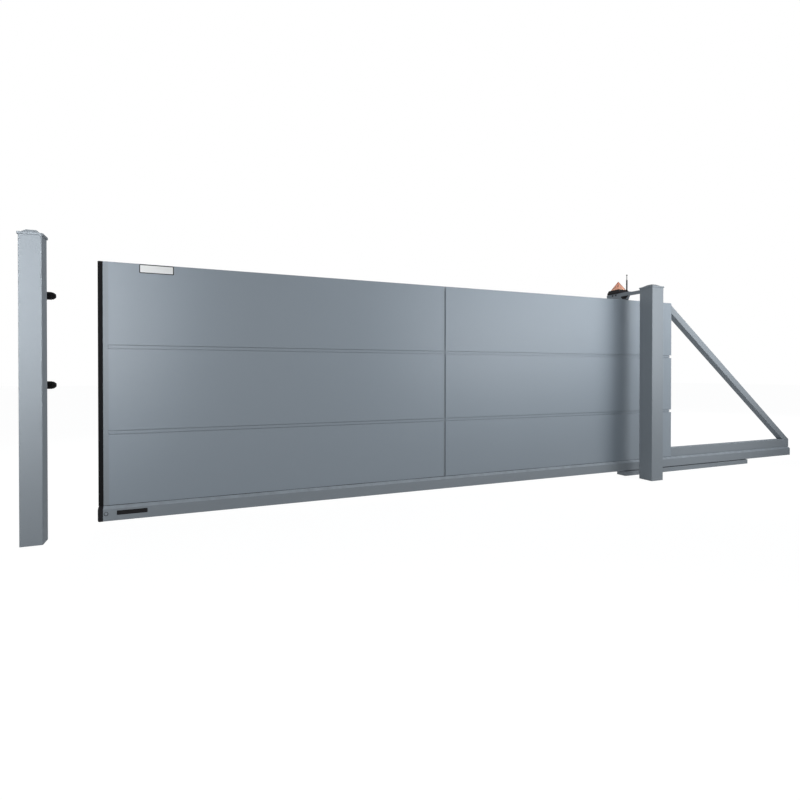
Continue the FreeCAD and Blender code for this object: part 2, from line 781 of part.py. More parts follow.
def make_aerial():
    body = new_body("aerial", guide_post_x, "aerial_setback", guide_top)
    sketch = new_sketch(body, "XZ_Plane")
    foot, sleeve = "(aerial_foot_diameter / 2)", "(aerial_sleeve_diameter / 2)"
    whip, tip = "(aerial_whip_diameter / 2)", "(aerial_tip_diameter / 2)"
    add_loop(sketch, [("0", "0"), (foot, "0"), (foot, "aerial_foot / 2"), (sleeve, "aerial_foot"),
                      (sleeve, "aerial_sleeve"), (whip, "aerial_sleeve + aerial_bevel"),
                      (whip, "aerial_height - aerial_tip"),
                      (tip, "aerial_height - aerial_tip + aerial_bevel"),
                      (tip, "aerial_height - aerial_bevel"),
                      (f"{tip} - aerial_bevel", "aerial_height"), ("0", "aerial_height")])
    revolve(body, sketch, "V_Axis")
    return body


make_lamp_base()
make_lamp_lens()
make_aerial()

doc.recompute()
parts = [thing for thing in doc.Objects
         if thing.TypeId in ("PartDesign::Body", "Part::Compound") and not any(
             owner.TypeId == "Part::Compound" for owner in thing.InList)]
failed = [thing.Label for thing in doc.Objects if "Invalid" in thing.State or "Error" in thing.State]
failed += [thing.Label for thing in parts if thing.Shape.isNull() or not thing.Shape.isValid()]
if failed:
    raise RuntimeError(f"pieces that failed: {failed}")

os.makedirs("parts", exist_ok=True)
for thing in parts:
    thing.Shape.exportStep(f"parts/{thing.Label}.step")
print(len(parts), "pieces written")
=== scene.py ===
import json
import math

import bpy
import numpy as np
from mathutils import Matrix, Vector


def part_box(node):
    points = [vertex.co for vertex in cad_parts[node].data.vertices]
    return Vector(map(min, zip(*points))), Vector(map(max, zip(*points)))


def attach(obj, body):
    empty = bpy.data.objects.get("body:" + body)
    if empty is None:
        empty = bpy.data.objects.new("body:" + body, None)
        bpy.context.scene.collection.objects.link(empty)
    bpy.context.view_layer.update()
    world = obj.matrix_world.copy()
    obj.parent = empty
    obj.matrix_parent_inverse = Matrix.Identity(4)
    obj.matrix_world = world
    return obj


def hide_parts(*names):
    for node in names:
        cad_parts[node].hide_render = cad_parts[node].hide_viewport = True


# finishes, trim, plates and small fasteners for the sliding gate, in metres
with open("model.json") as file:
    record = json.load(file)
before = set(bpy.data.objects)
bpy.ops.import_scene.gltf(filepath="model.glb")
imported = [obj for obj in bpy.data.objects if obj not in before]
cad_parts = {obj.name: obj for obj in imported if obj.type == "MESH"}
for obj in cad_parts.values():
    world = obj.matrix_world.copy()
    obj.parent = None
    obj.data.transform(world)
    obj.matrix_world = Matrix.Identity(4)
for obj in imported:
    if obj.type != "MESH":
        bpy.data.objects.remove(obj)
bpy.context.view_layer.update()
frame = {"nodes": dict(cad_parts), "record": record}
print("gate loaded with", len(frame["nodes"]), "pieces")


class Wire:
    # one output socket: an expression on wires and numbers adds its Math nodes
    def __init__(self, finish, socket):
        self.finish = finish
        self.socket = socket

    # one Math node
    def maths(self, operation, first, second):
        return self.finish.node("ShaderNodeMath", {"operation": operation}, {0: first, 1: second})

    def __add__(self, other):
        return self.maths("ADD", self, other)

    def __radd__(self, other):
        return self.maths("ADD", other, self)

    def __sub__(self, other):
        return self.maths("SUBTRACT", self, other)

    def __rsub__(self, other):
        return self.maths("SUBTRACT", other, self)

    def __mul__(self, other):
        return self.maths("MULTIPLY", self, other)

    def __rmul__(self, other):
        return self.maths("MULTIPLY", other, self)

    def __truediv__(self, other):
        return self.maths("DIVIDE", self, other)

    def __rtruediv__(self, other):
        return self.maths("DIVIDE", other, self)

    def __gt__(self, other):
        return self.maths("GREATER_THAN", self, other)

    def __lt__(self, other):
        return self.maths("LESS_THAN", self, other)

    # held between 0 and 1
    def clamped(self):
        return self.finish.node("ShaderNodeClamp", {}, {0: self})

    # another output of the same node
    def out(self, name):
        return Wire(self.finish, self.socket.node.outputs[name])


class Finish:
    # the node tree of a material or of the world, built node by node
    def __init__(self, owner):
        owner.use_nodes = True
        self.owner = owner
        self.tree = owner.node_tree
        self.tree.nodes.clear()

    # any node: its type, its settings first, then the value or the link of each socket
    def node(self, kind, settings, sockets, out=0):
        made = self.tree.nodes.new(kind)
        for key, value in settings.items():
            setattr(made, key, value)
        for key, value in sockets.items():
            if isinstance(value, Wire):
                self.tree.links.new(value.socket, made.inputs[key])
            else:
                made.inputs[key].default_value = value
        return Wire(self, made.outputs[out]) if made.outputs else None

    # the place of a point on its piece, or the way it faces
    def spot(self, kind="Object"):
        return self.node("ShaderNodeTexCoord", {}, {}, kind)

    # one axis of that place or facing
    def along(self, axis, kind="Object"):
        return self.node("ShaderNodeSeparateXYZ", {}, {0: self.spot(kind)}, axis)

    # cloudy noise, drawn out along an axis where its stretch is under 1
    def noise(self, scale, detail, stretch=(1, 1, 1)):
        drawn = self.node("ShaderNodeMapping", {}, {"Vector": self.spot(), "Scale": stretch})
        return self.node("ShaderNodeTexNoise", {}, {"Vector": drawn, "Scale": scale, "Detail": detail})

    # the first colour where the share is 0, the second where it is 1
    def blend(self, share, first, second):
        sockets = {0: share, 6: tint(first), 7: tint(second)}  # 6 and 7 take colours, and output 2 gives one
        return self.node("ShaderNodeMix", {"data_type": "RGBA"}, sockets, 2)

    # a relief of that depth in metres, over another one where it is given
    def bump(self, height, depth, under=None):
        sockets = {"Height": height, "Distance": depth}
        if under is not None:
            sockets["Normal"] = under
        return self.node("ShaderNodeBump", {}, sockets)

    # the finished surface
    def surface(self, sockets):
        shader = self.node("ShaderNodeBsdfPrincipled", {}, sockets)
        self.node("ShaderNodeOutputMaterial", {}, {"Surface": shader})
        return self.owner


# three numbers get a full alpha, a wire passes as it is
def tint(colour):
    return colour if isinstance(colour, Wire) else (*colour, 1.0)


# the pale dust colour also serves as a painted highlight on low faces that look up
paintLook = {
    "colour": (0.236, 0.263, 0.289), "second": (0.250, 0.278, 0.305), "cloudScale": 1.4,
    "dustAndHighlight": (0.40, 0.45, 0.50), "dustAndHighlightHeight": 0.3, "dustAndHighlightScale": 22, "dustAndHighlightShare": 0.04,
    "dustAndHighlightUpward": 2.4, "dustAndHighlightRough": 0.3,
    "peelScale": 480, "peelDepth": 0.00004, "peelRough": 0.05,
    "waveScale": 1.5, "waveStretch": (1, 1, 1), "waveDepth": 0.0002,
    "roughness": 0.68, "specular": 0.1,
}
panelLook = dict(
    paintLook, colour=(0.218, 0.256, 0.295), second=(0.232, 0.271, 0.311), cloudScale=0.9,
    peelScale=620, peelDepth=0.00003, waveScale=1.0, waveStretch=(0.7, 1, 2.2), waveDepth=0.0006,
    roughness=0.34, specular=0.5)


# powder coat: soft clouds of tone, a fine orange peel over long shallow waves,
# and a pale tone that fades with height, most of it on faces that look up: partly dust, partly a painted
# highlight for light from above
def coatedPaint(name, look):
    finish = Finish(bpy.data.materials.new(name))
    tone = finish.blend(finish.noise(look["cloudScale"], detail=3), look["colour"], look["second"])
    # painted highlight: low faces that look up, such as the rail's shoulders, take a pale blue-grey as if lit
    # from above, together with dust near the ground
    low = (1 - finish.along("Z") / look["dustAndHighlightHeight"]).clamped()
    upwardDustAndHighlight = look["dustAndHighlightShare"] + finish.along("Z", "Normal").clamped() * look["dustAndHighlightUpward"]
    dustAndHighlightMask = (low * finish.noise(look["dustAndHighlightScale"], detail=4) * upwardDustAndHighlight).clamped()
    fine = finish.noise(look["peelScale"], detail=2)
    peel = finish.bump(fine, look["peelDepth"])
    wave = finish.noise(look["waveScale"], detail=0, stretch=look["waveStretch"])
    return finish.surface({
        "Base Color": finish.blend(dustAndHighlightMask, tone, look["dustAndHighlight"]),
        "Roughness": look["roughness"] + (fine - 0.5) * look["peelRough"] + dustAndHighlightMask * look["dustAndHighlightRough"],
        "Specular IOR Level": look["specular"],
        "Normal": finish.bump(wave, look["waveDepth"], peel),
    })


rubberLook = {"colour": (0.003, 0.003, 0.0035), "chalk": (0.011, 0.011, 0.012), "wornScale": 9,
              "wornRough": 0.25, "pitScale": 700, "pitDepth": 0.00015, "roughness": 0.62, "specular": 0.1}


# rubber: near black, chalky where it is rubbed, with a fine pitted skin
def mattRubber(name, look):
    finish = Finish(bpy.data.materials.new(name))
    worn = finish.noise(look["wornScale"], detail=5)
    pits = finish.noise(look["pitScale"], detail=2)
    return finish.surface({
        "Base Color": finish.blend(worn, look["colour"], look["chalk"]),
        "Roughness": look["roughness"] + worn * look["wornRough"],
        "Specular IOR Level": look["specular"],
        "Normal": finish.bump(pits, look["pitDepth"]),
    })


plasticLook = {"colour": (0.006, 0.006, 0.007), "second": (0.014, 0.014, 0.016), "dullScale": 14,
               "dullRough": 0.18, "grainScale": 900, "grainDepth": 0.0001, "roughness": 0.5, "specular": 0.15}
nylonLook = dict(
    plasticLook, colour=(0.66, 0.65, 0.60), second=(0.56, 0.55, 0.50), dullScale=30,
    grainScale=300, grainDepth=0.00005, roughness=0.42, specular=0.5)
whiteLook = dict(
    plasticLook, colour=(0.70, 0.71, 0.71), second=(0.64, 0.65, 0.65), dullScale=18,
    grainScale=600, grainDepth=0.00003, roughness=0.30, specular=0.5)


# moulded plastic: even colour with a leather-like grain of cells and duller patches
def mouldedPlastic(name, look):
    finish = Finish(bpy.data.materials.new(name))
    cells = finish.node("ShaderNodeTexVoronoi", {"feature": "SMOOTH_F1"},
                        {"Vector": finish.spot(), "Scale": look["grainScale"]})
    dull = finish.noise(look["dullScale"], detail=3)
    return finish.surface({
        "Base Color": finish.blend(dull, look["colour"], look["second"]),
        "Roughness": look["roughness"] + dull * look["dullRough"],
        "Specular IOR Level": look["specular"],
        "Normal": finish.bump(cells, look["grainDepth"]),
    })


zincLook = {"colour": (0.40, 0.41, 0.42), "second": (0.56, 0.57, 0.58),
            "flakeScale": 120, "flakeShare": 0.6, "flakeRough": 0.15,
            "lineScale": 260, "lineStretch": (0.04, 1, 1), "lineShare": 0.4, "lineRough": 0.08,
            "lineDepth": 0.00004, "roughness": 0.32}


# zinc: crystal flakes of differing brightness over fine drawing lines
def zincSteel(name, look):
    finish = Finish(bpy.data.materials.new(name))
    cells = finish.node("ShaderNodeTexVoronoi", {},
                        {"Vector": finish.spot(), "Scale": look["flakeScale"]}, "Color")
    flake = finish.node("ShaderNodeSeparateColor", {}, {0: cells})
    lines = finish.noise(look["lineScale"], detail=2, stretch=look["lineStretch"])
    bright = flake * look["flakeShare"] + lines * look["lineShare"]
    return finish.surface({
        "Base Color": finish.blend(bright, look["colour"], look["second"]),
        "Metallic": 1.0,
        "Roughness": look["roughness"] + flake * look["flakeRough"] + lines * look["lineRough"],
        "Normal": finish.bump(lines, look["lineDepth"]),
    })


lensLook = {"deep": (0.72, 0.33, 0.21), "clear": (0.82, 0.56, 0.42), "riseShare": 0.7, "streakShare": 0.3,
            "streakScale": 240, "streakStretch": (1, 1, 0.15), "streakDepth": 0.00008, "streakRough": 0.14,
            "roughness": 0.12, "clarity": 0.70, "bending": 1.49}


# amber lens: clear orange, paler low down, with faint upright moulding streaks
def amberLens(name, look):
    finish = Finish(bpy.data.materials.new(name))
    low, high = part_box("lamp_lens")
    rise = ((finish.along("Z") - low[2]) / (high[2] - low[2])).clamped()
    streak = finish.noise(look["streakScale"], detail=3, stretch=look["streakStretch"])
    depth = rise * look["riseShare"] + streak * look["streakShare"]
    return finish.surface({
        "Base Color": finish.blend(depth, look["clear"], look["deep"]),
        "Roughness": look["roughness"] + streak * look["streakRough"],
        "Transmission Weight": look["clarity"],
        "IOR": look["bending"],
        "Normal": finish.bump(streak, look["streakDepth"]),
    })


# rodStart and tipStart are measured down from the aerial's top
aerialLook = {"colour": plasticLook["colour"], "second": plasticLook["second"], "rod": (0.05, 0.05, 0.055),
              "rodStart": 0.048, "tipStart": 0.0102, "rubbedScale": 380, "rubbedDepth": 0.00006,
              "rubbedRough": 0.1, "rodRough": 0.14, "roughness": 0.5, "specular": 0.15}


# aerial: a moulded sleeve below, a bare rod between two heights and a moulded tip
def aerialFinish(name, look):
    finish = Finish(bpy.data.materials.new(name))
    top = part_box("aerial")[1][2]
    height = finish.along("Z")
    bare = (height > top - look["rodStart"]) * (height < top - look["tipStart"])
    rubbed = finish.noise(look["rubbedScale"], detail=3)
    sleeve = finish.blend(rubbed, look["colour"], look["second"])
    return finish.surface({
        "Base Color": finish.blend(bare, sleeve, look["rod"]),
        "Roughness": look["roughness"] + rubbed * look["rubbedRough"] - bare * look["rodRough"],
        "Specular IOR Level": look["specular"],
        "Normal": finish.bump(rubbed, look["rubbedDepth"]),
    })


finishes = {
    "framePaint": coatedPaint("framePaint", paintLook),
    "panelPaint": coatedPaint("panelPaint", panelLook),
    "blackRubber": mattRubber("blackRubber", rubberLook),
    "blackPlastic": mouldedPlastic("blackPlastic", plasticLook),
    "rollerNylon": mouldedPlastic("rollerNylon", nylonLook),
    "whitePlastic": mouldedPlastic("whitePlastic", whiteLook),
    "zincSteel": zincSteel("zincSteel", zincLook),
    "amberLens": amberLens("amberLens", lensLook),
    "aerialSkin": aerialFinish("aerialSkin", aerialLook),
}
bySlot = {"frame_paint": "framePaint", "panel_paint": "panelPaint", "black_rubber": "blackRubber",
          "black_plastic": "blackPlastic", "amber_lens": "amberLens", "bare_steel": "zincSteel",
          "roller_nylon": "rollerNylon"}
slotOf = {part["node"]: part["material_slot"] for part in frame["record"]["subparts"]}
for nodeName, cadNode in frame["nodes"].items():
    chosen = "aerialSkin" if nodeName == "aerial" else bySlot[slotOf[nodeName]]
    cadNode.data.materials.clear()
    cadNode.data.materials.append(finishes[chosen])
print("finishes made:", len(finishes))

# the ways that pieces face
towards = {"street": (0, -1, 0), "house": (0, 1, 0), "front": (-1, 0, 0), "tail": (1, 0, 0), "sky": (0, 0, 1)}


# lowest and highest corner of a node's box
def corners(node):
    return np.array(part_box(node))


# a place on a node's street face, so far from its front end and so far below its top
def facePlace(look):
    low, high = corners(look["on"])
    return low[0] + look["fromEnd"], low[1], high[2] - look["fromTop"]


# x, y and z of a two-way grid, each spread over the whole grid
def gridPoints(x, y, z):
    return np.stack(np.broadcast_arrays(x, y, z), axis=-1)


# evenly spaced angles of a full turn
def fullTurn(around):
    return np.linspace(0, 2 * np.pi, around, endpoint=False)


# quads between neighbouring rings of points: with ends, a flat face closes the first ring and the last,
# and without, quads lead from the last ring back to the first
def skin(rings, ends=True):
    count, around = rings.shape[:2]
    lower = np.arange(count - 1 if ends else count)
    upper = (lower + 1) % count
    here = np.arange(around)
    after = (here + 1) % around
    low, high = lower[:, None] * around, upper[:, None] * around
    quads = np.stack([low + here, low + after, high + after, high + here], axis=-1).reshape(-1, 4)
    caps = np.stack([here[::-1], here + (count - 1) * around])[:2 if ends else 0]
    return rings.reshape(-1, 3), quads, caps


# a shape built round its own Z axis, turned so that Z lies along the axis, and moved to the centre
def laid(shape, centre, axis):
    points, quads, caps = shape
    upward = np.array(axis, float)
    side = np.array((1.0, 0.0, 0.0)) if abs(upward[0]) < 0.5 else np.array((0.0, 1.0, 0.0))
    turned = np.stack([side, np.cross(upward, side), upward])
    return points @ turned + np.array(centre), quads, caps


# the shapes laid at each place in turn
def many(shapes, places, axis):
    return [laid(shape, place, axis) for place in places for shape in shapes]


# one piece of several shapes: each shape's faces are numbered on from the points before it,
# and edges that turn by more than the sharp angle in degrees stay crisp
def addPiece(name, shapes, body, slot, finish=None, sharp=32):
    faces, start = [], 0
    for points, quads, caps in shapes:
        faces += (quads + start).tolist() + (caps + start).tolist()
        start += len(points)
    mesh = bpy.data.meshes.new(name)
    mesh.from_pydata(np.concatenate([shape[0] for shape in shapes]).tolist(), [], faces)
    mesh.shade_smooth()
    mesh.set_sharp_from_angle(angle=math.radians(sharp))
    mesh.materials.append(finishes[finish or bySlot[slot]])
    piece = bpy.data.objects.new(name, mesh)
    bpy.context.scene.collection.objects.link(piece)
    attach(piece, body)
    return piece


# rounded rectangles in a pile: four corner arcs each, drawn in by the inset, with arcs that shrink
# about their own centres down to the least radius
def roundedPile(width, height, corner, inset, level, steps=10, leastRadius=0.0002):
    radius = np.maximum(corner - inset, leastRadius)
    drawnIn = inset + radius
    turn = np.arange(4)[:, None] * np.pi / 2 + np.linspace(0, np.pi / 2, steps)
    right = np.repeat((1, -1, -1, 1), steps)
    up = np.repeat((1, 1, -1, -1), steps)
    x = right * (width / 2 - drawnIn)[:, None] + radius[:, None] * np.cos(turn).ravel()
    y = up * (height / 2 - drawnIn)[:, None] + radius[:, None] * np.sin(turn).ravel()
    return gridPoints(x, y, level[:, None])


# rounded rectangles of one size, drawn in and raised by the pairs in the section
def roundedStack(size, corner, section, steps=10):
    inset, level = np.array(section).T
    return roundedPile(*size, corner, inset, level, steps)


# trim round a rounded rectangle: a closed loop whose section is flat on top and broken at both edges
def trimLoop(look):
    edge, brow = look["edge"], look["brow"]
    section = np.array([(0, 0), (0, brow), (edge, 1), (1 - edge, 1), (1, brow), (1, 0)])
    rings = roundedStack(look["size"], look["corner"], section * (look["width"], look["rise"]), look["steps"])
    return skin(rings, ends=False)


# turned head: a radius and a height for each ring, flattened to six sides by the share given
def turnedHead(profile, flats=0.0, around=36):
    radius, height = np.array(profile).T[:, :, None]
    turn = fullTurn(around)
    hexagon = np.cos(np.pi / 6) / np.cos(turn % (np.pi / 3) - np.pi / 6)
    shape = radius * (1 - flats + flats * hexagon)
    return skin(gridPoints(shape * np.cos(turn), shape * np.sin(turn), height))


sealLook = {"bluntness": 0.42, "ribs": 11, "ribDepth": 0.0014, "around": 130, "stations": 40}


# front seal: half a turn whose sine and cosine are raised to a power, which gives a blunt nose,
# less a cosine wave of fine ribs, carried straight up the leaf's front end
def frontSeal(look):
    low, high = corners("leading_rubber")
    half, depth = (high[1] - low[1]) / 2, high[0] - low[0]
    turn = np.linspace(np.pi / 2, -np.pi / 2, look["around"])
    across = np.sign(np.sin(turn)) * np.abs(np.sin(turn)) ** look["bluntness"]
    forward = np.abs(np.cos(turn)) ** look["bluntness"]
    rib = look["ribDepth"] * (1 - np.cos(np.pi * look["ribs"] * (across + 1))) / 2
    z = np.linspace(low[2], high[2], look["stations"])[:, None]
    return skin(gridPoints(high[0] - forward * (depth - rib), low[1] + half * (1 + across), z))


seal = addPiece("frontSeal", [frontSeal(sealLook)], "leaf", "black_rubber", sharp=50)
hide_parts("leading_rubber")
print("front seal made")

# edge and field levels are shares of a plate's thickness
plateShape = {"edge": ((0, 0), (0, 0.6), (0.12, 0.88), (0.4, 1)), "fieldSlope": 0.0003, "fieldLevel": 0.8}
noticeLook = dict(plateShape, on="upper_left_panel", fromEnd=0.2545, fromTop=0.028, size=(0.179, 0.0435),
                  corner=0.003, thick=0.0016, border=0.003)
railPlateLook = dict(plateShape, on="guide_rail", fromEnd=0.150, fromTop=0.041, size=(0.160, 0.025),
                     corner=0.003, thick=0.0022, border=0.0025)


# bare plate: a stack of rounded rectangles with a broken edge and a finely sunk field
def barePlate(look):
    thick, border = look["thick"], look["border"]
    field = [(border, thick), (border + look["fieldSlope"], thick * look["fieldLevel"])]
    section = np.concatenate([np.array(look["edge"]) * thick, field])
    return laid(skin(roundedStack(look["size"], look["corner"], section)), facePlace(look), towards["street"])


addPiece("noticePlate", [barePlate(noticeLook)], "leaf", "roller_nylon", finish="whitePlastic")
addPiece("railPlate", [barePlate(railPlateLook)], "leaf", "black_plastic")

# dark rim that overlaps the white plate's edge
rimLook = {"size": (0.187, 0.0515), "corner": 0.006, "width": 0.0045, "rise": 0.0024, "edge": 0.15,
           "brow": 0.7, "steps": 10}
plateRim = laid(trimLoop(rimLook), facePlace(noticeLook), towards["street"])
addPiece("plateRim", [plateRim], "leaf", "black_plastic", sharp=50)
print("plates made")

# edges are pairs of shares, of the radius and of the height
boltShape = {"washerEdge": ((1, 0.7), (0.95, 1)), "headEdge": ((1, 0.86), (0.97, 0.95), (0.86, 1))}
smallBolt = dict(boltShape, washer=0.012, plate=0.0024, head=0.0095, rise=0.0098)
screwShape = {"domeRings": 7, "bluntness": 0.6, "hollow": ((0.96, 0.9), (0.9, 0.35)), "around": 28}


# hexagon bolt: a turned washer, and a six-sided head on it whose top edge is drawn in
def hexBolt(look):
    washer, plate, head, rise = look["washer"], look["plate"], look["head"], look["rise"]
    disc = np.vstack([(washer, 0), np.array(look["washerEdge"]) * (washer, plate)])
    hexagon = np.vstack([(head, plate), np.array(look["headEdge"]) * (head, rise)])
    return [turnedHead(disc), turnedHead(hexagon, flats=1.0)]


# pan screw: a dome whose radius follows a power of the cosine, with a round socket sunk in it
def panScrew(look):
    radius, rise, socket = look["radius"], look["rise"], look["socket"]
    swing = np.linspace(0, np.pi / 2, look["domeRings"])
    outward = socket + (radius - socket) * np.cos(swing) ** look["bluntness"]
    dome = np.column_stack([outward, rise * np.sin(swing)])
    hollow = np.array(look["hollow"]) * (socket, rise)
    return [turnedHead(np.concatenate([dome, hollow]), around=look["around"])]


cheekScrewLook = dict(screwShape, radius=0.0075, rise=0.0032, socket=0.0026, fromBack=(0.108, 0.071),
                      fromTop=0.015)


# screws side by side near the cheek's top
def bracketScrews(look):
    low, high = corners("guide_bracket")
    places = [(low[0], high[1] - back, high[2] - look["fromTop"]) for back in look["fromBack"]]
    return many(panScrew(look), places, towards["front"])


addPiece("bracketScrews", bracketScrews(cheekScrewLook), "posts_and_base", "black_plastic")

# end screw of the rail, and a dark ring round it
railScrewLook = dict(screwShape, radius=0.0092, rise=0.0022, socket=0.0050, on="guide_rail", fromEnd=0.015,
                     fromTop=0.043)
ringLook = {"size": (0.0225, 0.0225), "corner": 0.0111, "width": 0.002, "rise": 0.001, "edge": 0.3,
            "brow": 0.6, "steps": 12}
screwPlace = facePlace(railScrewLook)
railScrew = many(panScrew(railScrewLook), [screwPlace], towards["street"])
screwRing = laid(trimLoop(ringLook), screwPlace, towards["street"])
addPiece("railScrew", railScrew, "leaf", "frame_paint")
addPiece("screwRing", [screwRing], "leaf", "black_rubber", sharp=50)

catchBoltLook = dict(smallBolt, footHeight=0.070, footPlate=0.006, across=(-0.022, 0.026), apart=0.020)


# four bolts through the foot of each catch bracket
def catchBolts(look):
    low, high = corners("catch_brackets")
    middle, face = (low[0] + high[0]) / 2, low[1] + look["footPlate"]
    levels = (low[2] + look["footHeight"] / 2, high[2] - look["footHeight"] / 2)
    places = [(middle + x, face, level + z) for level in levels for x in look["across"]
              for z in (-look["apart"], look["apart"])]
    return many(hexBolt(look), places, towards["house"])


addPiece("catchBolts", catchBolts(catchBoltLook), "posts_and_base", "bare_steel")

anchorLook = dict(boltShape, washer=0.014, plate=0.0026, head=0.0105, rise=0.0112, margin=0.031,
                  carriageGap=0.110)


# anchors along the base's middle: one near each end and one inward of each carriage
def anchorBolts(look):
    low, high = corners("carriage_base")
    front, rear = corners("front_carriage"), corners("rear_carriage")
    margin, gap = look["margin"], look["carriageGap"]
    along = (low[0] + margin, front[1, 0] + gap, rear[0, 0] - gap, high[0] - margin)
    middle, seat = (low[1] + high[1]) / 2, front[0, 2]
    return many(hexBolt(look), [(x, middle, seat) for x in along], towards["sky"])


addPiece("anchorBolts", anchorBolts(anchorLook), "posts_and_base", "bare_steel")

carriageBoltLook = dict(smallBolt, fromEnd=0.025, fromSide=0.012, foot=0.008)


# a bolt near each corner of a carriage's foot
def carriageBolts(look, node):
    low, high = corners(node)
    fromEnd, fromSide = look["fromEnd"], look["fromSide"]
    places = [(x, y, low[2] + look["foot"]) for x in (low[0] + fromEnd, high[0] - fromEnd)
              for y in (low[1] + fromSide, high[1] - fromSide)]
    return many(hexBolt(look), places, towards["sky"])


carriageRows = [shape for node in ("front_carriage", "rear_carriage")
                for shape in carriageBolts(carriageBoltLook, node)]
addPiece("carriageBolts", carriageRows, "posts_and_base", "bare_steel")
print("fasteners made")

# proud and lift are shares of the radius
sillShadeLook = {"radius": 0.0011, "wander": 0.0003, "pace": 9, "proud": 0.4, "lift": 0.6, "around": 12,
            "stations": 120}


# painted contact shade at the sill: a dark round bead whose radius wanders as a sine, laid along the foot of
# the boards on one side
def sillShadeBead(look, side):
    low, high = corners("lower_left_panel")
    face = low[1] if side < 0 else high[1]
    start, end = corners("leading_stile")[0, 0], corners("lower_right_panel")[1, 0]
    x = np.linspace(start, end, look["stations"])[:, None]
    turn = fullTurn(look["around"])
    radius = look["radius"] + look["wander"] * np.sin(x * look["pace"])
    y = face + side * look["radius"] * look["proud"] + radius * np.cos(turn)
    z = low[2] + look["radius"] * look["lift"] + radius * np.sin(turn)
    return skin(gridPoints(x, y, z))


# painted shade: a dark bead along the foot of the boards stands for the contact shade where they meet the
# rail
addPiece("sillShadeBeads", [sillShadeBead(sillShadeLook, side) for side in (-1, 1)], "leaf", "black_rubber", sharp=60)
print("sill seams made")

# an outline about the pad's centre, and rings as shares of the outline and of the rise
padLook = {"fromMiddle": 0.005, "fromFoot": 0.022, "rise": 0.002,
           "across": (-0.039, 0.039, 0.039, 0.020, 0.012, -0.036),
           "down": (-0.012, -0.012, -0.005, 0.014, 0.014, -0.006),
           "rings": ((1, 0), (1, 0.6), (0.97, 0.9), (0.92, 1))}


# guide pad in the cheek's window: a wedge outline, straight at its rim and drawn in at its face
def guidePad(look):
    low = corners("guide_bracket")[0]
    share, level = np.array(look["rings"]).T[:, :, None]
    rings = gridPoints(share * look["across"], share * look["down"], level * look["rise"])
    return laid(skin(rings), (low[0], look["fromMiddle"], low[2] + look["fromFoot"]), towards["front"])


addPiece("guidePad", [guidePad(padLook)], "posts_and_base", "black_plastic")
print("guide pad made")

plugLook = {"wall": 0.003, "slack": 0.0002, "shank": 0.018, "crown": 0.0012, "easing": 0.3, "rim": 0.004,
            "corner": 0.003}


# plug in the tail beam's end: rounded rectangles inside the tube, with a crowned rim and a sunk field
def beamPlug(look):
    low, high = corners("tail_beam")
    middle = (low + high) / 2
    size = (high - low)[1:] - 2 * (look["wall"] + look["slack"])
    crown, rim, eased = look["crown"], look["rim"], look["crown"] * look["easing"]
    section = [(0, -look["shank"]), (0, -crown), (eased, -eased), (crown, 0), (rim, 0), (rim + crown, -crown)]
    return laid(skin(roundedStack(size, look["corner"], section)), (high[0], *middle[1:]), towards["tail"])


addPiece("beamPlug", [beamPlug(plugLook)], "leaf", "black_plastic")
print("tail plug made")

beadLook = {"radius": 0.0035, "pitch": 0.0032, "ripple": 0.12, "perRipple": 6, "leastTaper": 0.05,
            "around": 10}


# weld bead: a round section along a straight seam, whose radius ripples as a sine and tapers to both ends
def weldBead(start, end, look):
    start, end = np.array(start), np.array(end)
    length = np.linalg.norm(end - start)
    stations = np.linspace(0, length, int(length / look["pitch"] * look["perRipple"]))[:, None]
    taper = np.sqrt(np.clip(np.minimum(stations, length - stations) / look["radius"], look["leastTaper"], 1))
    wave = np.sin(2 * np.pi * stations / look["pitch"])
    radius = look["radius"] * taper * (1 - look["ripple"] + look["ripple"] * wave)
    turn = fullTurn(look["around"])
    rings = gridPoints(radius * np.cos(turn), radius * np.sin(turn), stations)
    return laid(skin(rings), start, (end - start) / length)


tailWeldLook = dict(beadLook, inset=0.004, proud=0.0015)


# one bead across the corner of the leaf's end and the tail beam's top
def tailWelds(look):
    low, high = corners("tail_beam")
    x, z = low[0] + look["proud"], high[2]
    return [weldBead((x, low[1] + look["inset"], z), (x, high[1] - look["inset"], z), look)]


addPiece("tailWelds", tailWelds(tailWeldLook), "leaf", "frame_paint", sharp=60)

armWeldLook = dict(beadLook, inset=0.004, proud=0.0005, armDrop=0.012, armHeight=0.032)


# beads up both sides and over the top of the bracket's arm, on the guide post's back
def armWelds(look):
    low, high = corners("guide_bracket")
    postHigh, inset = corners("guide_post")[1], look["inset"]
    back, top = postHigh[1] + look["proud"], postHigh[2] - look["armDrop"]
    foot = top - look["armHeight"]
    sides = [weldBead((x, back, foot), (x, back, top - inset), look) for x in (low[0], high[0])]
    return sides + [weldBead((low[0] + inset, back, top), (high[0] - inset, back, top), look)]


addPiece("armWelds", armWelds(armWeldLook), "posts_and_base", "frame_paint", sharp=60)
print("weld beads made")

lampLook = {"wall": 0.0028, "ceiling": 0.0012, "leastHollow": 0.0022, "corner": 0.0035, "roundest": 0.42,
            "taper": 0.93, "topLevel": 0.985, "tip": 0.6, "ribs": 13, "ribDepth": 0.0004, "levels": 105,
            "steps": 8}


